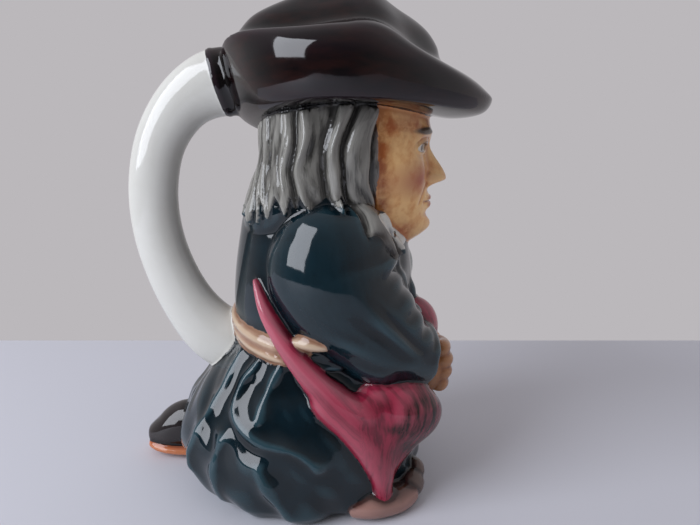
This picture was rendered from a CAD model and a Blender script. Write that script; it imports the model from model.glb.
# A painted and glazed earthenware toby jug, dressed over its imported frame.
# The forms are laid out in millimetres, fused and sculpted into one skin, and then moved into the frame.
import math

import bmesh
import bpy
import numpy as np
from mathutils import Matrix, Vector
from mathutils.bvhtree import BVHTree
from mathutils.kdtree import KDTree


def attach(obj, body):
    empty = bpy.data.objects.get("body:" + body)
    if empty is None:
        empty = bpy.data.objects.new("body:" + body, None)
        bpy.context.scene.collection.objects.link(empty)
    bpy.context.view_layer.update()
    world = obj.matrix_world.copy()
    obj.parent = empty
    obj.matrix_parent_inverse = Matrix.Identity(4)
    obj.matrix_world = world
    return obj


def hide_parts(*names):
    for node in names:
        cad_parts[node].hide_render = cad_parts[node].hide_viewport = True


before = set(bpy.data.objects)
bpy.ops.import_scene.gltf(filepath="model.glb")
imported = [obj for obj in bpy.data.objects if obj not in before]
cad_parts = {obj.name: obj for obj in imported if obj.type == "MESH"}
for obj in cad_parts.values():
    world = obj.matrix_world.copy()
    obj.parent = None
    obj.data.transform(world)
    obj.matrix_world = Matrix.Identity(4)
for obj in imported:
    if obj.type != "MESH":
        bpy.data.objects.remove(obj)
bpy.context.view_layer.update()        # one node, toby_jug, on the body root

millimetre = 0.001
frameOffset = np.array([0.74, -0.115, 0.01])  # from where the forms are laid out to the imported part's frame


def bell(distance, width):
    return np.exp(-((distance / width) ** 2))


def ramp(value, start, end):
    share = np.clip((value - start) / (end - start), 0, 1)
    return share * share * (3 - 2 * share)


def signedPower(value, power):
    return np.sign(value) * np.abs(value) ** power


def wrapAngle(angle):
    return np.arctan2(np.sin(angle), np.cos(angle))


def unit(vectors):
    return vectors / np.maximum(np.linalg.norm(vectors, axis=1, keepdims=True), 1e-9)


def rounded(share):
    # the bulge of one lock across its width, where share runs through whole numbers at the grooves
    across = 2 * (share - np.floor(share)) - 1
    return np.sqrt(1 - 0.97 * across**2)


def scatter(index, seed):
    # a fixed number from 0 to 1 for each whole number
    value = np.sin(index * 12.9898 + seed * 78.233) * 43758.5453
    return value - np.floor(value)


def along(keys, t):
    # a smooth line through evenly spaced keys, with t from 0 to 1
    keys = np.asarray(keys, float)
    place = np.clip(t, 0, 1) * (len(keys) - 1)
    first = np.minimum(place.astype(int), len(keys) - 2)
    f = (place - first)[:, None]
    a, b, c, d = (keys[np.clip(first + step, 0, len(keys) - 1)] for step in (-1, 0, 1, 2))
    return b + ((c - a) * f + (2 * a - 5 * b + 4 * c - d) * f**2 + (3 * b - a - 3 * c + d) * f**3) / 2


def atHeight(table, z):
    # the values of a table of [height, ...values] at heights z
    table = np.asarray(table, float)
    heights = table[:, 0]
    upper = np.clip(np.searchsorted(heights, z, side="right"), 1, len(heights) - 1)
    lower = upper - 1
    f = np.clip((z - heights[lower]) / (heights[upper] - heights[lower]), 0, 1)
    return along(table, (lower + f) / (len(table) - 1))[:, 1:]


def nearLine(across, up, line, steps=24):
    # how far places are from a smooth line through a few points, and how far along it the nearest one is
    smooth = along(line, np.linspace(0, 1, steps))
    nearest, length, travelled = np.full_like(up, 1e9), np.zeros_like(up), 0.0
    for (x0, z0), (x1, z1) in zip(smooth[:-1], smooth[1:]):
        step = math.hypot(x1 - x0, z1 - z0)
        f = np.clip(((across - x0) * (x1 - x0) + (up - z0) * (z1 - z0)) / step**2, 0, 1)
        away = np.hypot(across - x0 - f * (x1 - x0), up - z0 - f * (z1 - z0))
        length = np.where(away < nearest, travelled + f * step, length)
        nearest = np.minimum(nearest, away)
        travelled += step
    return nearest, length


def plan(angle, z, sizes, square=1.0, out=0.0):
    # a ring of the plan: sizes are the back and front along X and the half-width along Y
    back, front, half = sizes.T
    return np.column_stack([
        (back + front) / 2 + ((front - back) / 2 + out) * signedPower(np.cos(angle), square),
        (half + out) * signedPower(np.sin(angle), square),
        z,
    ])


def readPoints(mesh):
    points = np.empty(len(mesh.vertices) * 3)
    mesh.vertices.foreach_get("co", points)
    return points.reshape(-1, 3)


def readNormals(mesh):
    normals = np.empty(len(mesh.vertices) * 3)
    mesh.vertex_normals.foreach_get("vector", normals)
    return normals.reshape(-1, 3)


def writePoints(mesh, points):
    mesh.vertices.foreach_set("co", np.asarray(points, np.float32).ravel())
    mesh.update()


def skin(rings, around, at):
    # a closed skin of rings: at(t, angle) gives its points, with t from 0 to 1 along it
    bm = bmesh.new()
    bmesh.ops.create_uvsphere(bm, u_segments=around, v_segments=rings + 1, radius=1)
    mesh = bpy.data.meshes.new("form")
    bm.to_mesh(mesh)
    bm.free()
    ball = readPoints(mesh)
    row = np.rint(np.arccos(np.clip(-ball[:, 2], -1, 1)) * (rings + 1) / math.pi)
    points = at(np.clip((row - 1) / (rings - 1), 0, 1), np.arctan2(ball[:, 1], ball[:, 0]))
    for pole, nearest in ((0, 1), (rings + 1, rings)):
        points[row == pole] = points[row == nearest].mean(axis=0)
    writePoints(mesh, points)
    return mesh


def limb(keys, rings=48, around=36, across=(0, 1, 0), ends=(0.1, 0.1)):
    # keys are [x, y, z, radius in the limb's own plane, radius across it]; ends are the shares that close it
    side = np.array(across) / np.linalg.norm(across)

    def closing(share, length):
        if length == 0:
            return np.ones_like(share)
        return np.sqrt(1 - 0.97 * np.clip(1 - share / length, 0, 1) ** 2)

    def at(t, angle):
        placed = along(keys, t)
        before, after = along(keys, np.maximum(t - 0.01, 0)), along(keys, np.minimum(t + 0.01, 1))
        tangent = unit(after[:, :3] - before[:, :3])
        normal = unit(np.cross(side, tangent))
        binormal = np.cross(tangent, normal)
        size = closing(t, ends[0]) * closing(1 - t, ends[1])
        return (placed[:, :3] + normal * (placed[:, 3] * size * np.cos(angle))[:, None]
                + binormal * (placed[:, 4] * size * np.sin(angle))[:, None])

    return skin(rings, around, at)


def egg(centre, radii, turn=0.0, around=40, rings=28):
    c, s = math.cos(math.radians(turn)), math.sin(math.radians(turn))

    def at(t, angle):
        rise = (t - 0.5) * math.pi * 0.985
        x = radii[0] * np.cos(rise) * np.cos(angle)
        y = radii[1] * np.cos(rise) * np.sin(angle)
        z = radii[2] * np.sin(rise)
        return np.column_stack([centre[0] + c * x - s * y, centre[1] + s * x + c * y, centre[2] + z])

    return skin(rings, around, at)


def mirrored(keys):
    return [[x, -y, z, *rest] for x, y, z, *rest in keys]


coat = {
    "plan": [  # height, back, front, half-width
        [0, -35, 34.5, 33], [4, -38.2, 36, 36], [10, -41.6, 37, 37], [16, -43, 37.6, 36.9],
        [22, -41.2, 37.8, 35.8], [31, -36, 37, 33], [41, -28.2, 35, 28.8], [50, -22.3, 33.5, 26.5],
        [60, -22.8, 33, 28], [70, -22, 33, 28], [80, -20.4, 31, 26], [88, -18.4, 27, 22], [95, -12, 22, 16]],
    "waist": 50,
    "reach": 33,       # mm of cloth to a radian round the skirt
    # ridges of the skirt: [height, degrees round from the front] along each, then its rise and half-width
    "ridges": [
        ([[49, -147], [38, -141], [26, -141], [12, -144]], 2.0, 3.0),
        ([[47, -128], [38, -130], [32, -124], [27, -108], [25, -92], [20, -80]], 2.1, 2.4),
        ([[25, -125], [16, -125], [5, -128]], 2.0, 2.8),
        ([[48, -111], [40, -113], [32, -111]], 1.6, 2.8),
        ([[20, -104], [12, -99], [3, -95]], 1.8, 3.2)],
    "farRidges": [168, 148, 127, 106, 84, 62, 40],  # degrees round of the plainer ones on the far side
    "farRidge": (1.7, 3.2),
    "swells": (0.45, 0.1),  # the rise of the cloth's slow and quick swells between the ridges
    "hemWaves": 13,
    "hemDepth": 1.1,
    "footRound": 1.4,  # the height of the rounded edge that the jug stands on
}
for index, degrees in enumerate(coat["farRidges"]):
    sway, foot = (5, 6) if index % 2 else (-4, 14)
    run = [[48, degrees], [34, degrees + sway], [20, degrees - sway], [foot, degrees + sway]]
    coat["ridges"].append((run, *coat["farRidge"]))


def ridgeRise(angle, z):
    rise = np.zeros_like(z)
    for run, top, width in coat["ridges"]:
        heights, degrees = np.transpose(run)
        middle = degrees.mean()
        line = np.column_stack([np.radians(degrees - middle) * coat["reach"], heights])
        nearest, _ = nearLine(wrapAngle(angle - math.radians(middle)) * coat["reach"], z, line)
        rise += top * (0.62 * bell(nearest, width) + 0.42 * bell(nearest, 0.36 * width))
    return rise


def coatAt(t, angle):
    z = 95 * t
    skirt = ramp(coat["waist"] - z, 0, 5)
    hem = coat["hemDepth"] * np.cos(coat["hemWaves"] * angle + 0.6) * ramp(16 - z, 0, 12)
    foot = -1.1 * (1 - np.sqrt(1 - np.clip(1 - z / coat["footRound"], 0, 1) ** 2))
    return plan(angle, z, atHeight(coat["plan"], z), 1, skirt * (ridgeRise(angle, z) - 0.6 + hem) + foot)


sash = {
    "width": 8.4,
    "proud": 1.7,
    "height": 2.2,     # of its middle over the coat's waist
    "slope": 2.4,      # how much higher it is on the side it rises to
    "highSide": 115,   # degrees round from the front
    "creases": (0.35, 0.25),  # the rise of its slow and fine creases
    "end": ([3.4, -28.8, 54.6], [6, 2.6, 2.8], -12),  # the short end that shows in front of the bag's tail
}


def sashAt(t, angle):
    middle = coat["waist"] + sash["height"] + sash["slope"] * np.cos(angle - math.radians(sash["highSide"]))
    z = middle + sash["width"] * (t - 0.5)
    crease = sash["creases"][0] * np.sin(3.1 * angle + 5 * t) * bell(t - 0.5, 0.4)
    bulge = sash["proud"] * np.sqrt(1 - (2 * t - 1) ** 2)
    return plan(angle, z, atHeight(coat["plan"], z), 1, bulge + crease)


arms = {
    "sleeve": [
        [7, -12, 90, 11, 10], [8, -16.5, 82, 16.5, 14.5], [8.7, -18, 72.6, 19, 16.5],
        [12.4, -18.5, 63.6, 17.2, 16.3], [21.4, -17.5, 52.8, 14.8, 14], [30.4, -14.4, 46, 11.2, 11.5],
        [35.6, -11.4, 43.6, 9.2, 9.6]],
    "cuff": [[31, -13.6, 45.6, 10.6, 11.2], [34, -12.2, 44.4, 10.6, 10.8], [36.6, -11, 43.2, 9.2, 9.6]],
    # the front edge, which waves where the cloth is gathered, as points along X and up
    "edge": [[23, 85], [25.4, 77], [27.6, 70.5], [29.6, 64], [32, 60], [36.6, 55], [39.5, 50.5]],
    "edgeWave": 6.8,   # mm from crest to crest
    "edgeRise": (0.34, 0.2, 2.2),  # of the waves and of the edge, and its half-width
    "folds": [         # from, to (along X and up), rise and half-width
        [(22.5, 64.5), (36.2, 48.6), -0.9, 1.3], [(19.5, 64), (33, 49), 0.5, 1.6],
        [(16, 62), (27.5, 53), -0.6, 1.5], [(8, 58), (20, 52), 0.5, 2], [(27, 69), (36, 57), 0.4, 1.2]],
}

hands = {
    "palm": ([38.4, 4.4, 37.6], [6.6, 6.8, 8.8]),
    "fingerRadius": 2.5,
    "firstFinger": 43.6,      # its height, and then the step down to each of the others
    "step": 4,
    "knuckle": 45,            # how far forward the longest finger reaches
    "underHand": (1.5, 1.2),  # how much lower and further back the fingers of the hand beneath are
}


def hand(side):
    (x, y, z), radii = hands["palm"]
    forms = [egg([x, side * y, z], radii)]
    radius = hands["fingerRadius"]
    lower, further = hands["underHand"] if side > 0 else (0, 0)
    for finger in range(4):
        z = hands["firstFinger"] - finger * hands["step"] - lower
        reach = hands["knuckle"] - abs(finger - 1.4) * 0.9 - further
        forms.append(limb([
            [41, side * 9, z + 1.2, radius, radius],
            [reach - 0.8, side * 6, z + 0.5, radius * 1.08, radius * 1.08],
            [reach, side * 2.2, z, radius * 0.98, radius * 0.98],
            [reach - 1.2, side * -1.4, z - 0.3, radius * 0.95, radius * 0.95],
            [reach - 4, side * -2.6, z - 0.4, radius * 0.8, radius * 0.8],
        ], 36, 24, (0, 0, 1), (0.16, 0.2)))
    return forms


bag = {
    "tail": [
        [-14, -21.5, 72, 0.8, 0.8], [-10.3, -25.5, 63, 2.2, 2], [-5, -27.4, 54, 2.9, 2.6],
        [1, -28.6, 46, 3.6, 3.2], [8, -29.2, 38.6, 4.8, 3.8], [14.5, -28.6, 32.6, 6.4, 5],
        [21, -25.5, 29, 8, 7]],
    "hem": [
        [4, -29, 42, 4.4, 3], [8.6, -29.6, 37, 5.6, 3.4], [14, -30, 31.6, 5.6, 3.8],
        [19.5, -30.2, 24.5, 5.5, 3.4], [22.8, -29.4, 16, 4.4, 3], [23.4, -29, 9.5, 3.2, 2.6],
        [22.6, -30, 5.4, 2.8, 2.4], [20.5, -31, 3, 2.8, 2.2]],
    "belly": [
        [30.2, -15, 40, 5, 5], [29, -17.2, 35.2, 11.6, 12], [28, -18.5, 30, 13.6, 13.6],
        [25.8, -20, 22, 9.6, 10.4], [24, -23.5, 14, 4.8, 5.6], [23, -26, 8, 3, 3.6],
        [22.4, -27, 4.4, 2.6, 3]],
    "top": ([33.4, -4.5, 51.2], [8.4, 9, 9.6]),
    "filling": ([22.5, -25.6, 27], [7.4, 6.4, 10.5]),
    "shoulder": ([21.4, -23.6, 34.4], [8.8, 7.6, 7]),
    "tailDown": -43,   # degrees that the strokes on the tail run down at
    "neck": 22.5,      # where along X the strokes on the belly run together
    # darker paint: along X and up, half-widths and strength
    "shade": [
        (36, 27, 6, 10, 2.2), (32.6, 29, 4.4, 7, 1.2), (23, 36.5, 3.2, 1.8, 0.8), (25, 29.5, 3.4, 1.5, 0.9),
        (14.5, 41, 3, 1.6, 0.5)],
}

neckwear = {
    "collar": [[73, -4, 28, 15], [77, -4, 29.4, 15.5], [81, -3, 30, 15.5], [86, -2, 29, 15]],
    "collarProud": 0.7,
    "lapel": [
        [20, -19, 89, 2, 2.4], [23, -18.4, 84, 2.2, 2.6], [25.6, -16.6, 77, 2.3, 2.5],
        [27.2, -15.4, 70.5, 2.2, 2.5], [28.6, -14.6, 64.4, 2.2, 2.5], [31.6, -14.2, 59, 2.2, 2.5],
        [35.2, -13.4, 54.4, 2.1, 2.4], [38, -12, 50.6, 1.8, 2.2]],
    "waves": 4.5,      # along a lapel, and how deep they are
    "waveDepth": 0.5,
    "innerLapel": [
        [26.2, -10, 79, 1.8, 2], [29, -8, 74, 2, 2], [30.2, -7, 68, 2, 2.2], [32.2, -5.6, 63, 2, 2.2],
        [32.4, -4.5, 57, 2, 2.2]],
    "cravat": ([29, 0, 70], [4.6, 6, 7.5]),
    "dot": (26.5, 13.0, 82.6),  # the painted button on the collar, on both sides
    "dotHalf": (0.65, 8, 0.65),
    "dotColour": "#1d1212",
}


def collarAt(t, angle):
    z = 73 + 13 * t
    return plan(angle, z, atHeight(neckwear["collar"], z))


def wavyLapel(keys=40):
    wavy = along(neckwear["lapel"], np.linspace(0, 1, keys))
    wave = np.sin(np.linspace(0, 2 * math.pi * neckwear["waves"], keys))
    wavy[:, [0, 2]] += neckwear["waveDepth"] * wave[:, None] * [0.8, 0.6]
    return wavy.tolist()


hair = {
    "plan": [
        [76, -14, 12, 15], [80, -16, 16, 19], [84, -18.8, 20, 22.2], [89, -17.8, 24, 24.4],
        [95, -15.6, 25, 24.6], [103, -12.6, 25.4, 24.8], [111, -12.4, 25.6, 24.6], [117, -12, 26, 23.4],
        [122, -12, 26, 21.4]],
    "square": 0.78,    # below 1, the plan is squarer than an ellipse
    "swing": [  # height, how far forward the locks run there beside the face, and behind
        [76, 4, 1], [90, 2.2, 0.6], [95, 0.6, -0.4], [101, -0.8, -0.6], [107, -1, 0.4], [113, 0.9, 0.5],
        [118, 3.6, 0], [124, 6, -0.5]],
    "reach": 23.5,     # mm of hair to a radian round the head
    "proud": 0.9,
    "locks": (7, 2.6, 1.5),       # width, rise beside the face, and how much less it is behind
    "creases": (3.1, 0.4),        # width and rise
    "strands": (1.8, 0.55),
    "foot": 95,        # the height of its lower edge, before each lock's point
    "points": (5, 3.4, 1.8),      # width, depth and how much the depth varies
    "pointsBehind": (1.2, 4),     # what is added to the depth and its variation behind
    "longLock": (21.4, 89.2, 0.65),  # the edge of the lock beside the collar: X, height and forward slope
}


def hairAt(t, angle):
    z = 76 + 46 * t
    return plan(angle, z, atHeight(hair["plan"], z), hair["square"], -0.4)


# the face, a calm one on plain proportions
face = {
    "plan": [
        [76, 8, 30, 10], [80.5, 8, 35.4, 11], [84.5, 8, 36.6, 13.6], [90, 8, 36.6, 16], [98, 8, 36.8, 18],
        [106, 8, 36.9, 18.6], [114, 8, 37.4, 18.4], [122, 8, 36.6, 18]],
    "middle": 18,      # the face is swung about this line
    "chin": 80.5,
    "third": 15,       # chin to nose, nose to brow and brow to hairline are equal
    "eyeOut": 7.3,     # half the distance between the eyes
    "eyeHalf": 3.5,    # half the width of an eye
}
face["nose"] = face["chin"] + face["third"]
face["brow"] = face["nose"] + face["third"]
face["eye"] = face["brow"] - 3.8
face["mouth"] = face["nose"] - face["third"] / 3


def faceForms(y, z):
    # the main forms, as how far they stand out of the plain egg of the face
    side = np.abs(y)
    nose, brow, eye, mouth, chin = (face[k] for k in ("nose", "brow", "eye", "mouth", "chin"))
    bridge = ramp(z, nose - 1.4, nose + 1.6) * ramp(brow + 4 - z, 0, 5)
    bridge = bridge * (0.12 + 0.88 * ramp(brow - 2 - z, 0, 12))
    return (
        6.4 * bridge * bell(side, 1.9 + 2.0 * bell(z - (nose + 1.2), 4))
        + 1.7 * bell(side - 3.5, 1.7) * bell(z - (nose + 1.7), 1.9)      # nostrils' wings
        + 1.5 * bell(z - brow, 2.4) * bell(side - 7, 6)
        - 2.5 * bell(z - eye, 3.1) * bell(side - face["eyeOut"], 4.4)    # sockets
        + 2.0 * bell(z - eye, 2.3) * bell(side - face["eyeOut"], 3.2)    # eyeballs
        + 1.3 * bell(z - (nose + 3), 5) * bell(side - 10.5, 4.5)         # cheekbones
        + 1.5 * bell(z - (mouth + 0.2), 3.4) * bell(side, 6)
        + 2.2 * bell(z - (chin + 2.8), 3) * bell(side, 6)
        - 0.7 * bell(z - (mouth - 4.4), 1.6) * bell(side, 6)             # the hollow over the chin
        - 0.8 * bell(z - (brow + 1), 4) * bell(side - 16, 3)             # temples
    )


def browLine(side):
    return face["brow"] + 0.5 + 0.9 * bell(side - 8.6, 3.6) - 0.05 * side


def faceDetail(y, z):
    # lids, lips, nostrils and folds, cut into the fused skin
    side = np.abs(y)
    nose, eye, mouth = (face[k] for k in ("nose", "eye", "mouth"))
    w = np.clip((side - face["eyeOut"]) / face["eyeHalf"], -1.6, 1.6)
    arch = np.sqrt(np.clip(1 - w**2, 0, 1))
    upper, lower = eye + 1.5 * arch - 0.1, eye - 1.15 * arch - 0.1
    opened = ramp(upper - z, -0.25, 0.3) * ramp(z - lower, -0.25, 0.3) * ramp(1.06 - np.abs(w), 0, 0.12)
    lids = 0.5 * bell(z - (upper + 0.35), 0.55) * ramp(1.25 - np.abs(w), 0, 0.3)
    lids = lids + 0.34 * bell(z - (lower - 0.35), 0.5) * ramp(1.2 - np.abs(w), 0, 0.3)
    fold = -0.4 * bell(z - (upper + 1.55), 0.5) * ramp(1.35 - np.abs(w), 0, 0.5)
    bow = mouth + 0.18 * np.cos(side * 1.2) * bell(side, 3)
    upperLip = 0.62 * bell(z - (bow + 0.95), 0.85) * ramp(5.1 - side, 0, 2.6)
    lowerLip = 0.72 * bell(z - (bow - 1.25), 1.0) * ramp(4.6 - side, 0, 2.6)
    parting = -0.75 * bell(z - bow, 0.34) * ramp(5.4 - side, 0, 1.6)
    corner = -0.5 * bell(side - 5.5, 0.8) * bell(z - mouth, 0.8)
    philtrum = -0.28 * bell(side, 0.7) * bell(z - (nose - 2), 1.4)
    nostril = -0.9 * bell(side - 1.8, 0.8) * bell(z - (nose - 0.1), 0.7)
    wing = -0.45 * bell(np.hypot(side - 4.2, z - (nose + 1.8)) - 2.1, 0.45) * ramp(side, 3.8, 5)
    foldX = 5.3 + 0.42 * np.clip(nose + 1.4 - z, 0, 8)
    smile = -0.38 * bell(side - foldX, 0.8) * ramp(nose + 1.8 - z, 0, 2) * ramp(z - (mouth - 1.6), 0, 2)
    browHair = 0.32 * bell(z - browLine(side), 0.8) * ramp(side, 2.6, 4.2) * ramp(13.4 - side, 0, 3)
    return (-0.42 * opened + lids + fold + upperLip + lowerLip + parting + corner + philtrum + nostril + wing
            + smile + browHair)


def faceAt(t, turn):
    angle = turn - 0.6 * np.sin(turn)  # most of the points go round the front
    z = 76 + 46 * t
    back, front, half = atHeight(face["plan"], z).T
    forward = np.cos(angle)
    y = half * np.sin(angle)
    x = face["middle"] + np.where(forward > 0, front - face["middle"], face["middle"] - back) * forward
    return np.column_stack([x + faceForms(y, z) * np.maximum(forward, 0), y, z])


hat = {
    "middle": 13,
    "rings": [  # back, front and half-width from the middle, then height at the back, front and sides
        [26, 20, 22, 111.6, 116.8, 119.4], [27.6, 30, 26, 112, 114.8, 119.2],
        [32, 39.4, 32.4, 115, 116, 119.8], [35.4, 42.8, 34.2, 121.2, 119.8, 122.2],
        [37, 41.4, 35, 126.6, 122, 129], [37.2, 37, 34.6, 130.4, 125, 132.8],
        [36.4, 28.8, 32.4, 132.8, 128.8, 136.4], [34.4, 26.4, 28.4, 133.2, 130.6, 138],
        [32, 25.4, 25, 135.4, 133.8, 138.8], [27.8, 22.6, 22, 140.6, 138.2, 143.4],
        [21.8, 18.8, 18.6, 144, 141.8, 147.4], [18, 15.8, 16, 145.2, 143.4, 149.4]],
    "brim": 0.55,      # the share of the rings that belong to the turned-up brim
    "lobes": 5,        # soft dents round the crown
    "lobeDepth": 0.05,
    "lobeRise": 0.9,
    "backRise": 5,     # the brim is highest behind the middle, by this much
}


def hatAt(t, angle):
    back, front, half, backZ, frontZ, sideZ = along(hat["rings"], t).T
    c, s = np.cos(angle), np.sin(angle)
    forward = c > 0
    peak = bell(wrapAngle(angle), 0.5) * (1 - ramp(t, 0.1, 0.6) * 0.6)
    pinch = np.where(forward, 1 + 0.55 * (1 - np.minimum(t / hat["brim"], 1)), 1)
    lobes = np.cos(hat["lobes"] * angle + 0.5) * ramp(t, 0.35, 0.7) * ramp(1.05 - t, 0, 0.3)
    endZ = np.where(forward, frontZ, backZ)
    rise = sideZ + (endZ - sideZ) * np.abs(c) ** np.where(forward, 3.1 - 1.5 * t, 2)
    rise = rise + hat["backRise"] * np.maximum(-c, 0) * np.abs(s) * bell(t - 0.47, 0.22)
    grow = 1 + hat["lobeDepth"] * lobes
    reach = np.where(forward, front * np.abs(c) ** pinch * (0.94 + 0.06 * peak), back * c)
    narrow = np.where(forward, 0.92, 1.0 + 0.55 * np.abs(c) * (1 - ramp(t, 0.4, 0.7)))  # towards the handle
    width = half * np.sign(s) * np.abs(s) ** narrow
    return np.column_stack([hat["middle"] + reach * grow, width * grow, rise + hat["lobeRise"] * lobes])


handle = {
    "line": [
        [-15, 0, 125, 9.6, 7], [-25.5, 0, 125, 9.8, 6.6], [-35.6, 0, 119.4, 8.4, 6],
        [-43.2, 0, 108.6, 7.6, 5.8], [-46.6, 0, 95, 7.5, 5.8], [-46.4, 0, 81.5, 7.6, 5.8],
        [-43.2, 0, 68.5, 7.9, 5.8], [-37.6, 0, 56.5, 8.6, 6], [-30.4, 0, 47.5, 10, 6.6],
        [-21, 0, 42, 11, 7.4]],
    "bandRise": 0.3,   # the raised band where the hat's colour ends
}


def handleJoint(z):
    # where the hat's colour ends on the handle, along X
    return -28 + (134 - z) * 5 / 18


shoes = {
    "leftUpper": [
        [-34, 8, 9.5, 9, 7.5], [-44, 8, 9.6, 8.8, 7.2], [-51.5, 8, 7, 6, 6.2], [-57, 8, 5.2, 3.2, 3.8]],
    "leftSole": [
        [-34, 8, 2.6, 2.4, 8.4], [-46, 8, 2.7, 2.4, 8.2], [-53, 8, 3.3, 2.4, 6.8], [-57.2, 8, 4.2, 1.9, 4]],
    "welt": (4.3, 0.1, -46),  # height, how it climbs towards the toe, and from where
    "rightShoe": [
        [14, -28, 3.8, 3.8, 5], [20, -29, 4.2, 4.4, 5.2], [27, -24.8, 3.4, 3.8, 6],
        [31.5, -20, 3.2, 3.4, 5]],
    "rightHeel": ([22, -27, 3], [6.4, 3.8, 3.4], 12),
    "rightToe": ([32.4, -18.8, 4.4], [4.6, 5, 4.6]),
    "toeCap": ([34, -15, 6.6], [3.3, 4.2, 3.8], 20),
}

# the hollow, a wall's thickness inside the body, and the recess under the foot
hollow = {
    "wall": 4,
    "body": [
        [5.2, -33, 32, 29], [9, -38.8, 36, 35], [16, -41.4, 37, 36.4], [22, -40, 37.2, 35.4],
        [31, -35, 36.6, 32.8], [41, -27.8, 34.8, 28.6], [50, -22.2, 33.2, 26.4], [60, -22.4, 32.8, 28.6],
        [70, -21.6, 32.4, 28.8], [80, -18, 29.6, 24.8], [88, -14.6, 30, 21.4], [97, -12.2, 35.4, 19.2],
        [106, -11.6, 35.6, 19.6], [119.4, -12.6, 35.6, 22.6], [126, -20.4, 36.6, 30.4],
        [131.6, -20, 36.4, 30], [137, -15, 33.6, 24.4], [142, -7.4, 30.2, 18.6], [146, -5, 29, 16.6],
        [156, -5, 29, 16.4]],
    "recess": 1.2,
    "footRing": 7,
}


def hollowAt(t, angle):
    z = 5.2 + 150.8 * t
    return plan(angle, z, atHeight(hollow["body"], z), 1, -hollow["wall"])


def recessAt(t, angle):
    edge = np.array(coat["plan"][0][1:]) + np.array([1, -1, -1]) * hollow["footRing"]
    z = -1 + (1 + hollow["recess"]) * t
    return plan(angle, z, np.tile(edge, (len(z), 1)))


# the forms, each with the paint it takes
lapel = wavyLapel()
forms = [
    ("coat", skin(110, 190, coatAt)),
    ("sash", skin(20, 190, sashAt)),
    ("hair", skin(60, 150, hairAt)),
    ("face", skin(100, 130, faceAt)),
    ("hat", skin(100, 180, hatAt)),
    ("white", limb(handle["line"], 90, 44, (0, 1, 0), (0, 0))),
    ("coat", limb(arms["sleeve"], 60, 48, (0, 1, 0), (0.12, 0.05))),
    ("coat", limb(mirrored(arms["sleeve"]), 60, 48, (0, 1, 0), (0.12, 0.05))),
    ("coat", limb(arms["cuff"], 24, 40, (0, 1, 0), (0.3, 0.3))),
    ("coat", limb(mirrored(arms["cuff"]), 24, 40, (0, 1, 0), (0.3, 0.3))),
    *[("hand", form) for form in hand(-1) + hand(1)],
    ("bag", limb(bag["tail"], 90, 36, (0.25, 1, 0.1), (0.05, 0.1))),
    ("bag", limb(bag["belly"], 60, 56, (0, 1, 0.3), (0.12, 0.08))),
    ("bag", limb(bag["hem"], 60, 36, (-0.5, 0.87, 0), (0.12, 0.08))),
    ("bag", egg(*bag["top"])),
    ("bag", egg(*bag["filling"])),
    ("bag", egg(*bag["shoulder"])),
    ("white", skin(16, 70, collarAt)),
    ("lapel", limb(lapel, 110, 24, (0.6, 1, 0))),
    ("lapel", limb(mirrored(lapel), 110, 24, (-0.6, 1, 0))),
    ("lapel", limb(neckwear["innerLapel"], 40, 20, (0.4, 1, 0))),
    ("lapel", limb(mirrored(neckwear["innerLapel"]), 40, 20, (-0.4, 1, 0))),
    ("trim", egg(*neckwear["cravat"])),
    ("sash", egg(*sash["end"])),
    ("tan", egg(*shoes["rightHeel"])),
    ("toe", egg(*shoes["toeCap"])),
    ("shoe", limb(shoes["leftUpper"], 40, 36)),
    ("sole", limb(shoes["leftSole"], 40, 36)),
    ("tan", limb(shoes["rightShoe"], 40, 36)),
    ("toe", egg(*shoes["rightToe"])),
]
cuts = [("white", skin(90, 110, hollowAt)), ("foot", skin(6, 110, recessAt))]
print("forms", len(forms))


def joined(meshes):
    bm = bmesh.new()
    for mesh in meshes:
        bm.from_mesh(mesh)
    bmesh.ops.recalc_face_normals(bm, faces=bm.faces)
    whole = bpy.data.meshes.new("joined")
    bm.to_mesh(whole)
    bm.free()
    return whole


def modified(mesh, kind, **settings):
    # the mesh as one modifier leaves it
    holder = bpy.data.objects.new("holder", mesh)
    bpy.context.scene.collection.objects.link(holder)
    modifier = holder.modifiers.new(kind, kind)
    for name, value in settings.items():
        setattr(modifier, name, value)
    made = bpy.data.meshes.new_from_object(holder.evaluated_get(bpy.context.evaluated_depsgraph_get()))
    bpy.data.objects.remove(holder)
    return made


clay = {
    "voxel": 0.42,           # mm; the finest relief is two or three of these wide
    "roughVoxel": 0.6,       # the one for a quick try
    "rimRounds": 14,         # rounds of smoothing on the rim of the mouth, the creases and the soft bag
    "creaseRounds": 3,
    "bagRounds": 50,
    "crestRounds": 14,       # rounds of smoothing that a crest stands out of, and by how much, in mm
    "crestHeight": 0.16,
    "triangles": 190000,     # of the lighter skin that is kept
}
voxel = clay["voxel"]
figure = modified(joined([mesh for _, mesh in forms]), "REMESH", mode="VOXEL", voxel_size=voxel)
print("figure", len(figure.vertices))
cutter = bpy.data.objects.new("cutter", joined([mesh for _, mesh in cuts]))
bpy.context.scene.collection.objects.link(cutter)
cast = modified(figure, "BOOLEAN", operation="DIFFERENCE", solver="MANIFOLD", object=cutter)
bpy.data.objects.remove(cutter)
cast = modified(cast, "REMESH", mode="VOXEL", voxel_size=voxel)
print("cast", len(cast.vertices))

labels = [
    "coat", "sash", "hair", "face", "hat", "white", "hand", "bag", "lapel", "trim", "shoe", "sole", "tan",
    "toe", "foot"]
cutLabel = 100     # added to the label of what one of the cuts left


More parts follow.
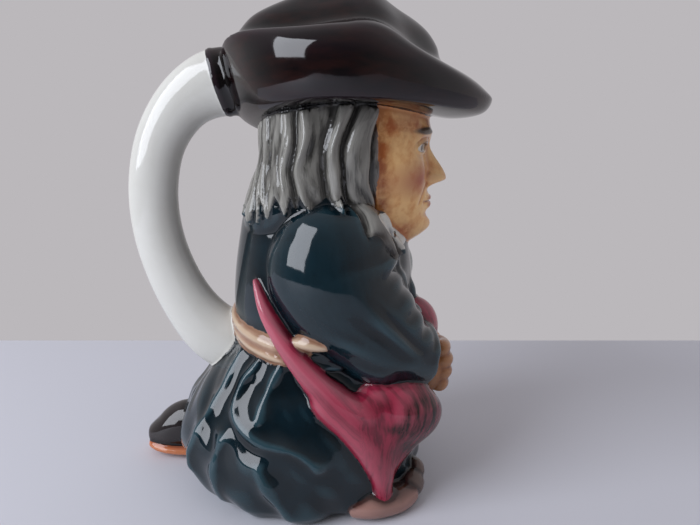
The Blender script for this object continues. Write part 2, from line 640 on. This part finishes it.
def owners(points):
    # which form each point of the skin came from, as a number in the list of labels
    corners, polygons, owner = [], [], []
    for label, mesh in forms + cuts:
        start = len(corners)
        corners.extend(readPoints(mesh).tolist())
        polygons.extend([start + k for k in polygon.vertices] for polygon in mesh.polygons)
        number = labels.index(label) + (cutLabel if (label, mesh) in cuts else 0)
        owner.extend([number] * len(mesh.polygons))
    tree = BVHTree.FromPolygons(corners, polygons)
    return np.array([owner[tree.find_nearest(point)[2]] for point in points.tolist()])


def isOf(owned, *names):
    return np.isin(owned, [labels.index(name) for name in names])


def edgeList(mesh):
    edges = np.empty(len(mesh.edges) * 2, np.int64)
    mesh.edges.foreach_get("vertices", edges)
    return edges.reshape(-1, 2)


def spread(values, edges, rounds=1, share=1.0):
    # each value drawn towards the mean of its neighbours, a few times over
    first, second = edges.T
    size = len(values)
    count = np.maximum(np.bincount(first, minlength=size) + np.bincount(second, minlength=size), 1)
    flat = values.reshape(size, -1)
    for _ in range(rounds):
        sums = [np.bincount(first, column[second], size) + np.bincount(second, column[first], size)
                for column in flat.T]
        flat = flat + (np.stack(sums, axis=1) / count[:, None] - flat) * np.reshape(share, (-1, 1))
    return flat.reshape(values.shape)


points = readPoints(cast)
edges = edgeList(cast)
owned = owners(points)
inside = owned >= cutLabel
print("labelled", np.bincount(owned).nonzero()[0].tolist())

# the rim of the mouth and the creases between forms are soft, as slip casting and glaze leave them
nearRim = np.clip(spread(inside.astype(float), edges, 5), 0, 1)
nearRim = np.clip(4 * nearRim * (1 - nearRim), 0, 1)
points = spread(points, edges, clay["rimRounds"], 0.6 * nearRim)
isFace = spread(isOf(owned, "face").astype(float), edges, 4)
points = spread(points, edges, clay["creaseRounds"], 0.6 * (1 - 0.8 * isFace))
isBag = spread(isOf(owned, "bag").astype(float), edges, 2)
points = spread(points, edges, clay["bagRounds"], 0.6 * ramp(isBag, 0.8, 1))
writePoints(cast, points)


def hairPlace(places):
    # how far back round the head a place is along the run of the locks, which swing in an S beside the face
    x, y, z = places.T
    angle = np.abs(np.arctan2(y, x - 4))
    front = ramp(x, -8, 20)
    beside, behind = atHeight(hair["swing"], z).T
    across = hair["reach"] * angle + beside * front + behind * (1 - front)
    across = across + 0.3 * np.sin(0.45 * z + 5 * angle)
    return across + 1.2 * np.sin(0.55 * across + 2), z


def hairFoot(places):
    # the height of the hair's lower edge: each lock ends in a point, and beside the face it runs on down
    x = places[:, 0]
    across, _ = hairPlace(places)
    behind = ramp(2 - x, 0, 12)
    width, depth, varied = hair["points"]
    more, moreVaried = hair["pointsBehind"]
    share = across / (width - 0.3 * behind)
    lock = np.floor(share)
    tip = 1 - np.abs(2 * (share - lock) - 1)
    deep = depth + varied * scatter(lock, 1) + (more + moreVaried * scatter(lock, 4)) * behind
    return np.maximum(hair["foot"] - 0.8 * behind - deep * tip - 1.4 * np.maximum(x - 14, 0), 77)


def hairRise(places):
    across, z = hairPlace(places)
    behind = ramp(2 - places[:, 0], 0, 8)
    lockWidth, lockRise, lessBehind = hair["locks"]
    lock = across / lockWidth
    swell = 0.45 * rounded(lock) + 0.55 * (0.5 - 0.5 * np.cos(2 * math.pi * lock))
    swell = swell + 0.3 * scatter(np.floor(lock), 2) - 0.9
    creaseWidth, creaseRise = hair["creases"]
    crease = 0.5 - 0.5 * np.cos(2 * math.pi * (across / creaseWidth + 0.3 * np.sin(0.3 * z)))
    strandWidth, strandRise = hair["strands"]
    strand = across / strandWidth + 0.4 * np.sin(0.4 * z + 9 * scatter(np.floor(lock), 3))
    return ((lockRise - lessBehind * behind) * swell + creaseRise * (crease - 0.5) * (1 - behind)
            + strandRise * (0.15 + 0.85 * behind) * (rounded(strand) - 0.7))


def longLockEdge(z):
    x, height, slope = hair["longLock"]
    return x + slope * (height - z)


def hairMask(places, owned):
    x, y, z = places.T
    above = ramp(z - hairFoot(places), -0.4, 0.4)
    beside = ramp(np.where(z > 90, 28.5, longLockEdge(z)) - x, -0.3, 0.3) * ramp(np.abs(y), 6, 9 - 0.001 * z)
    behind = ramp(4 - x, 0, 4)
    return isOf(owned, "hair", "coat", "lapel") * above * np.maximum(beside, behind)


def collarMask(places, owned):
    # the two wings of the collar, under the jaw
    x, y, z = places.T
    wing = ramp(x - longLockEdge(z), -0.3, 0.3) * ramp(z - (78 + 0.96 * (x - 28.7)), -0.3, 0.3)
    gap = ramp(np.abs(y) - 1.2 - 0.3 * (84 - z), -0.3, 0.3)
    return wing * gap * ramp(90 - z, 0, 1) * isOf(owned, "coat", "white", "lapel", "trim", "hair")


def skirtRise(places):
    # the slow swells of the cloth between its ridges
    x, y, z = places.T
    around = coat["reach"] * np.arctan2(y, x)
    drift = 2.2 * np.sin(0.16 * z + 0.05 * around)
    slow = np.sin(0.3 * around + drift) * np.sin(0.24 * z + 0.11 * around + 1)
    quick = np.sin(0.62 * around + 1.3 * np.sin(0.2 * z)) * np.sin(0.5 * z + 0.3 * around)
    slowRise, quickRise = coat["swells"]
    return slowRise * slow + quickRise * quick


def sleeveRise(places):
    # soft folds across the arm, gathered at the bend of the elbow and the cuff, and the wavy front edge
    x, y, z = places.T
    rise = 0.3 * np.sin(0.42 * (x + z) + 0.3 * np.abs(y)) * ramp(x, 8, 30)
    away, length = nearLine(x, z, arms["edge"], 30)
    waves, edge, width = arms["edgeRise"]
    rise += (waves * np.sin(2 * math.pi * length / arms["edgeWave"]) + edge) * bell(away, width)
    for (x0, z0), (x1, z1), top, width in arms["folds"]:
        f = ((x - x0) * (x1 - x0) + (z - z0) * (z1 - z0)) / ((x1 - x0) ** 2 + (z1 - z0) ** 2)
        away = np.hypot(x - x0 - f * (x1 - x0), z - z0 - f * (z1 - z0))
        rise += top * bell(away, width) * bell(f - 0.5, 0.45)
    return rise * ramp(np.abs(y), 8, 14) * ramp(z, 44, 52) * ramp(x, -2, 8)


def reliefOf(places, owned):
    # how far each place of the skin is raised or cut
    x, y, z = places.T
    isHair = hairMask(places, owned)
    cloth = isOf(owned, "coat", "lapel") * (1 - isHair)
    rise = isHair * (hairRise(places) + hair["proud"])
    rise += cloth * (ramp(z, 50, 46) * skirtRise(places) + sleeveRise(places))
    rise += neckwear["collarProud"] * collarMask(places, owned)
    rise += isOf(owned, "sash") * sash["creases"][1] * np.sin(1.7 * z + 6 * np.arctan2(y, x))
    band = bell(x - handleJoint(z) - 0.9, 0.8) * ramp(z, 104, 108) * ramp(-x, 8, 14)
    rise += isOf(owned, "white") * handle["bandRise"] * band
    rise += isOf(owned, "face") * ramp(x, 22, 27) * (1 - isHair) * faceDetail(y, z)
    return rise


rise = np.where(inside, 0, reliefOf(points, owned))
points = points + readNormals(cast) * rise[:, None]
points[:, 2] = np.maximum(points[:, 2], 0)
writePoints(cast, points)
print("relief")

# the paints: colours of the body, strokes, crests and hollows, how strong the last three are, and a stroke's
# size in mm: across and along the grain, or along X, Y and up where the colour is only dabbed on
paints = {
    "coat": ("#091c24", "#060f13", "#3b5963", "#060c10", 0.5, 0.5, 0.6, (10, 10, 10)),
    "hair": ("#74726c", "#33322f", "#a6a49d", "#2b2a28", 1.0, 0.5, 0.8, (0.5, 10)),
    "face": ("#ffcd8a", "#de8c44", "#ffdaa6", "#b8682f", 0.65, 0.35, 0.7, (3.8, 3.8, 3.8)),
    "hat": ("#090607", "#28120f", "#2c2026", "#060404", 0.7, 0.6, 0.6, (14, 14, 4.5)),
    "white": ("#d8d7d0", "#d2d0c8", "#e0dfd9", "#bdbab0", 0.5, 0.3, 0.4, (12.5, 12.5, 12.5)),
    "hand": ("#a66d40", "#84502f", "#c08d62", "#6b3a20", 0.5, 0.5, 0.8, (5, 5, 5)),
    "bag": ("#9b2b44", "#431721", "#cf7786", "#561a25", 0.8, 0.55, 0.6, (1.7, 8)),
    "sash": ("#a8866f", "#8f6a52", "#dcc9ad", "#7b563f", 0.6, 0.5, 0.7, (8, 8, 3.3)),
    "trim": ("#7f8a85", "#5a6663", "#a5ada8", "#3b4645", 0.5, 0.4, 0.6, (5, 5, 5)),
    "shoe": ("#1e1a1a", "#121010", "#4a4444", "#0c0a0a", 0.5, 0.5, 0.6, (10, 10, 10)),
    "sole": ("#b8653e", "#94482a", "#d08a62", "#6b3620", 0.5, 0.5, 0.6, (5, 5, 5)),
    "tan": ("#432723", "#37231f", "#c09488", "#241614", 0.9, 0.6, 0.8, (3.3, 3.3, 3.3)),
    "toe": ("#3e302d", "#221a18", "#7c6860", "#171110", 0.8, 0.6, 0.8, (3.3, 3.3, 3.3)),
}


def paintPlaces(places, owned):
    # the name of the paint on each place
    x, y, z = places.T
    outside = owned < cutLabel
    byLabel = [{"lapel": "coat", "foot": "white"}.get(label, label) for label in labels]
    paint = np.array(byLabel, dtype=object)[owned % cutLabel]
    hairy = hairMask(places, owned) > 0.5
    paint[(paint == "hair") & ~hairy & (z < 100)] = "coat"
    paint[hairy] = "hair"
    paint[(collarMask(places, owned) > 0.5) & outside] = "white"
    height, climb, start = shoes["welt"]
    paint[(paint == "sole") & (z > height + climb * np.maximum(start - x, 0))] = "trim"
    underArm = (x > 3) & (y < -10) & (z < 52.6)
    paint[(paint == "sash") & underArm] = "coat"
    onHandle = (paint == "white") & outside & (x < -10) & (z > 100)
    paint[onHandle & (x > handleJoint(z))] = "hat"
    return paint


def bagPlace(places):
    # how far across and along the strokes a place on the bag is: they run down the tail, and down to the neck
    x, y, z = places.T
    down = math.radians(bag["tailDown"])
    tail = np.column_stack([
        x * math.sin(down) - z * math.cos(down) + 0.5 * y, x * math.cos(down) - z * math.sin(down)])
    out = x - bag["neck"]
    belly = np.column_stack([20 * np.arctan2(out, z) + 0.6 * y, np.hypot(out, z) + 40])
    return np.where((x < 16 + 0.1 * (39 - z))[:, None], tail, belly)


paint = paintPlaces(points, owned)
masks = {name: spread((paint == name).astype(float), edges, 3) for name in paints if name != "coat"}
normals = readNormals(cast)
proud = np.einsum("ij,ij->i", points - spread(points, edges, clay["crestRounds"]), normals)
masks["ridge"] = np.clip(spread(proud / clay["crestHeight"], edges, 2), -1, 1)
x, y, z = points.T
shade = sum(
    strength * bell(x - middleX, wide) * bell(z - middleZ, tall)
    for middleX, middleZ, wide, tall, strength in bag["shade"])
onLongLock = 0.75 * masks["hair"] * ramp(x, 19, 23) * ramp(88 - z, 0, 4)
masks["shade"] = masks["bag"] * np.clip(shade, 0, 1) + onLongLock
warm = bell(x - 22.4, 2.6) + bell(z - 113, 2.6) + bell(z - 82, 3.4) * bell(x - 29, 4)
masks["warm"] = masks["face"] * np.clip(warm, 0, 1)  # beside the hair, under the hat and under the jaw
grain = np.zeros((len(points), 3))
isBag, isHair = masks["bag"] > 0.01, masks["hair"] > 0.01
grain[isBag, :2] = bagPlace(points[isBag])
grain[isHair, :2] = np.column_stack(hairPlace(points[isHair]))
print("paint")

# a lighter skin of the same form, with the fine one's normals and masks
kept = clay["triangles"] / (2 * len(cast.vertices))
light = modified(cast, "DECIMATE", ratio=kept, use_collapse_triangulate=True)
finder = KDTree(len(points))
for index, spot in enumerate(points.tolist()):
    finder.insert(spot, index)
finder.balance()
lightPoints = readPoints(light)
near = np.array([[found[1:] for found in finder.find_n(spot, 4)] for spot in lightPoints.tolist()])
index, distance = near[:, :, 0].astype(int), near[:, :, 1]
weight = 1 / (distance + 0.05) ** 2
weight /= weight.sum(axis=1, keepdims=True)
for name, values in masks.items():
    attribute = light.attributes.new("at_" + name, "FLOAT", "POINT")
    attribute.data.foreach_set("value", (values[index] * weight).sum(axis=1).astype(np.float32))
attribute = light.attributes.new("at_grain", "FLOAT_VECTOR", "POINT")
attribute.data.foreach_set("vector", grain[index[:, 0]].astype(np.float32).ravel())
for polygon in light.polygons:
    polygon.use_smooth = True
fine = unit((normals[index] * weight[:, :, None]).sum(axis=1))
writePoints(light, (lightPoints + frameOffset) * millimetre)
light.normals_split_custom_set_from_vertices(fine.tolist())
light.name = "toby_jug_cast"
jug = bpy.data.objects.new("toby_jug_cast", light)
bpy.context.scene.collection.objects.link(jug)
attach(jug, "root")
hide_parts("toby_jug")
print("light", len(light.polygons))


def add(tree, kind, inputs=(), **settings):
    # a node with its settings and links; what it gives back is its first output
    node = tree.nodes.new("ShaderNode" + kind)
    for name, value in settings.items():
        setattr(node, name, value)
    for slot, value in dict(inputs).items():
        if isinstance(value, bpy.types.NodeSocket):
            tree.links.new(value, node.inputs[slot])
        else:
            node.inputs[slot].default_value = value
    return next((output for output in node.outputs if output.enabled), node)


def linear(code, alpha=True):
    # an sRGB hex colour as linear light
    parts = [int(code[n:n + 2], 16) / 255 for n in (1, 3, 5)]
    parts = [part / 12.92 if part <= 0.04045 else ((part + 0.055) / 1.055) ** 2.4 for part in parts]
    return (*parts, 1) if alpha else tuple(parts)


def perMillimetre(size):
    # a size of two or three lengths in mm, as the three scales of its pattern
    return (*(1 / length for length in size), 0.0)[:3]


# the face's painted features, each a soft-edged oval on both sides: how far out and how high it is, its half
# sizes, its colour, how strong it is and how soft its edge
eye, mouth = face["eye"], face["mouth"]
features = [
    ((10.8, 98.0), (7.8, 6.8), "#a8443a", 0.8, 0.9),                  # blush
    ((0.0, 96.4), (3.6, 3.4), "#c0644c", 0.4, 0.8),                   # tip of the nose
    ((7.3, 108.4), (5.6, 3.4), "#a2603f", 0.5, 0.8),                  # round the eye
    ((7.4, 104.6), (4.4, 1.6), "#a8584a", 0.35, 0.8),
    ((8.6, face["brow"] + 1.0), (5.0, 1.3), "#453d37", 0.92, 0.35),
    ((7.3, eye + 0.25), (3.9, 1.75), "#53301f", 0.85, 0.2),           # lids, white, iris and pupil
    ((7.3, eye - 0.05), (3.4, 1.2), "#e9e2d2", 1.0, 0.12),
    ((7.0, eye + 0.05), (1.3, 1.3), "#5b4230", 1.0, 0.12),
    ((7.0, eye + 0.05), (0.6, 0.6), "#120d0b", 1.0, 0.15),
    ((0.0, mouth + 0.9), (4.7, 1.1), "#a8544a", 0.8, 0.3),            # lips and their parting
    ((0.0, mouth - 1.1), (4.2, 1.3), "#b56055", 0.8, 0.3),
    ((0.0, mouth), (5.2, 0.28), "#64302a", 0.8, 0.4),
    ((1.9, face["nose"] - 0.1), (0.9, 0.6), "#64302a", 0.7, 0.4),
]
# a second, broken layer over one mask: its colour, how it is laid and its stroke's size in mm
washes = {
    "warm": ("#b4602c", "dabbed", (3.3, 3.3, 3.3)),
    "shade": ("#22110f", "combed", (1.25, 8)),
}
glaze = {
    "roughness": 0.07,
    "ior": 1.5,
    "waveLength": 8,     # mm, of the waves that it dries in
    "waveHeight": 0.04,
}


def glazedEarthenware():
    # slip-cast white earthenware, painted by hand and dipped in a clear glaze: the eye gets a sharp image of
    # the window over soft strokes of the brush, with the paint thin and pale on crests and pooled in hollows
    material = bpy.data.materials.new("glazed_earthenware")
    material.use_nodes = True
    tree = material.node_tree
    tree.nodes.clear()
    coordinates = add(tree, "TexCoord").node.outputs["Object"]
    inFrame = add(tree, "VectorMath", {0: coordinates, "Scale": 1 / millimetre}, operation="SCALE")
    place = add(tree, "VectorMath", {0: inFrame, 1: tuple(frameOffset)}, operation="SUBTRACT")
    combed = add(tree, "Attribute", attribute_name="at_grain").node.outputs["Vector"]
    ridge = add(tree, "Attribute", attribute_name="at_ridge").node.outputs["Fac"]
    crest = add(tree, "MapRange", {0: ridge, 1: 0.1, 2: 0.9, 3: 0.0, 4: 1.0})
    pooled = add(tree, "MapRange", {0: ridge, 1: -0.1, 2: -0.8, 3: 0.0, 4: 1.0})
    covers = {}
    surface = None
    for name, (body, stroke, top, low, strokes, crests, hollows, size) in paints.items():
        isCombed = len(size) == 2
        drawn = add(tree, "VectorMath", {0: combed if isCombed else place, 1: perMillimetre(size)},
                    operation="MULTIPLY")
        noise = add(tree, "TexNoise", {
            "Vector": drawn, "Scale": 1.0, "Detail": 4.0, "Roughness": 0.6,
            "Distortion": 0.5 if isCombed else 0.0})
        share = add(tree, "MapRange", {0: noise, 1: 0.45, 2: 0.66, 3: 0.0, 4: strokes})
        colour = add(tree, "Mix", {0: share, 6: linear(body), 7: linear(stroke)}, data_type="RGBA")
        share = add(tree, "Math", {0: crest, 1: crests}, operation="MULTIPLY")
        colour = add(tree, "Mix", {0: share, 6: colour, 7: linear(top)}, data_type="RGBA")
        share = add(tree, "Math", {0: pooled, 1: hollows}, operation="MULTIPLY")
        colour = add(tree, "Mix", {0: share, 6: colour, 7: linear(low)}, data_type="RGBA")
        if surface is None:  # the coat's colour lies under all the others
            surface = colour
            continue
        # the glaze leaves the edge of a colour a little soft
        mask = add(tree, "Attribute", attribute_name="at_" + name).node.outputs["Fac"]
        covers[name] = add(tree, "MapRange", {0: mask, 1: 0.42, 2: 0.58, 3: 0.0, 4: 1.0})
        surface = add(tree, "Mix", {0: covers[name], 6: surface, 7: colour}, data_type="RGBA")
    for name, (code, laid, size) in washes.items():
        mask = add(tree, "Attribute", attribute_name="at_" + name).node.outputs["Fac"]
        drawn = add(tree, "VectorMath", {0: combed if laid == "combed" else place, 1: perMillimetre(size)},
                    operation="MULTIPLY")
        noise = add(tree, "TexNoise", {"Vector": drawn, "Scale": 1.0, "Detail": 3.0, "Roughness": 0.6})
        broken = add(tree, "MapRange", {0: noise, 1: 0.35, 2: 0.6, 3: 0.35, 4: 1.0})
        share = add(tree, "Math", {0: broken, 1: mask}, operation="MULTIPLY")
        surface = add(tree, "Mix", {0: share, 6: surface, 7: linear(code)}, data_type="RGBA")
    eitherSide = add(tree, "VectorMath", {0: place}, operation="ABSOLUTE")
    for (out, height), (wide, tall), code, strength, soft in features:
        away = add(tree, "VectorMath", {0: eitherSide, 1: (0.0, out, height)}, operation="SUBTRACT")
        away = add(tree, "VectorMath", {0: away, 1: (0.0, 1 / wide, 1 / tall)}, operation="MULTIPLY")
        reach = add(tree, "VectorMath", {0: away}, operation="LENGTH")
        share = add(tree, "MapRange", {0: reach, 1: 1.0, 2: 1.0 - soft, 3: 0.0, 4: strength})
        share = add(tree, "Math", {0: share, 1: covers["face"]}, operation="MULTIPLY")
        surface = add(tree, "Mix", {0: share, 6: surface, 7: linear(code)}, data_type="RGBA")
    away = add(tree, "VectorMath", {0: eitherSide, 1: neckwear["dot"]}, operation="SUBTRACT")
    away = add(tree, "VectorMath", {0: away, 1: perMillimetre(neckwear["dotHalf"])}, operation="MULTIPLY")
    reach = add(tree, "VectorMath", {0: away}, operation="LENGTH")
    share = add(tree, "MapRange", {0: reach, 1: 1.0, 2: 0.8, 3: 0.0, 4: 0.9})
    surface = add(tree, "Mix", {0: share, 6: surface, 7: linear(neckwear["dotColour"])}, data_type="RGBA")
    wave = add(tree, "TexNoise", {"Vector": place, "Scale": 1 / glaze["waveLength"], "Detail": 1.0})
    bump = add(tree, "Bump", {
        "Height": wave, "Strength": 1.0, "Distance": glaze["waveHeight"] * millimetre})
    shader = add(tree, "BsdfPrincipled", {
        "Base Color": surface, "Normal": bump, "Roughness": glaze["roughness"], "IOR": glaze["ior"],
        "Metallic": 0.0})
    add(tree, "OutputMaterial", {"Surface": shader})
    return material


light.materials.clear()
light.materials.append(glazedEarthenware())
print("glaze")

# the table top, whose far edge stands close behind the jug
stage = {"side": 0.8, "farEdge": 0.112, "colour": "#d2d3db", "roughness": 0.6}
bpy.ops.mesh.primitive_plane_add(size=stage["side"], location=(0, stage["farEdge"] - stage["side"] / 2, 0))
floor = bpy.context.object
floor.name = "floor"
paleFloor = bpy.data.materials.new("pale_floor")  # matt painted board: even and without an image of the jug
paleFloor.use_nodes = True
board = paleFloor.node_tree.nodes["Principled BSDF"]
board.inputs["Base Color"].default_value = linear(stage["colour"])
board.inputs["Roughness"].default_value = stage["roughness"]
floor.data.materials.append(paleFloor)

window = {
    "towards": (-0.75, -0.5, 0.43), "distance": 0.8, "middle": 0.08, "size": (0.52, 0.66), "power": 6.8,
    "tint": "#f2f6ff"}
lamp = bpy.data.lights.new("window", "AREA")
lamp.shape = "RECTANGLE"
lamp.size, lamp.size_y = window["size"]
lamp.energy = window["power"]
lamp.color = linear(window["tint"], False)
frameOfLight = bpy.data.objects.new("window", lamp)
towards = Vector(window["towards"]).normalized()
frameOfLight.location = Vector((0, 0, window["middle"])) + towards * window["distance"]
frameOfLight.rotation_euler = towards.to_track_quat("Z", "Y").to_euler()
bpy.context.scene.collection.objects.link(frameOfLight)

# the room: a pale wall behind the jug, and dim behind the camera
room = {"paleSide": (0.4, 0.9, 0.18), "dim": 0.07, "pale": 0.56, "tint": "#f2eef2"}
world = bpy.data.worlds.new("room")
bpy.context.scene.world = world
world.use_nodes = True
heading = add(world.node_tree, "TexCoord").node.outputs["Generated"]
facing = add(world.node_tree, "VectorMath", {0: heading, 1: room["paleSide"]}, operation="DOT_PRODUCT")
bright = add(world.node_tree, "MapRange", {0: facing, 1: -0.85, 2: 0.05, 3: room["dim"], 4: room["pale"]})
background = world.node_tree.nodes["Background"]
background.inputs["Color"].default_value = linear(room["tint"])
world.node_tree.links.new(bright, background.inputs["Strength"])

view = {"place": (0.01444, -0.1849, 0.1168), "lens": 30.9, "lookingDown": 14.08}
camera = bpy.data.objects.new("camera", bpy.data.cameras.new("camera"))
camera.data.sensor_width = 36
camera.data.lens = view["lens"]
camera.location = view["place"]
camera.rotation_euler = (math.radians(90 - view["lookingDown"]), 0, 0)
bpy.context.scene.collection.objects.link(camera)
bpy.context.scene.camera = camera
bpy.context.scene.view_settings.view_transform = "Standard"
print("stage")
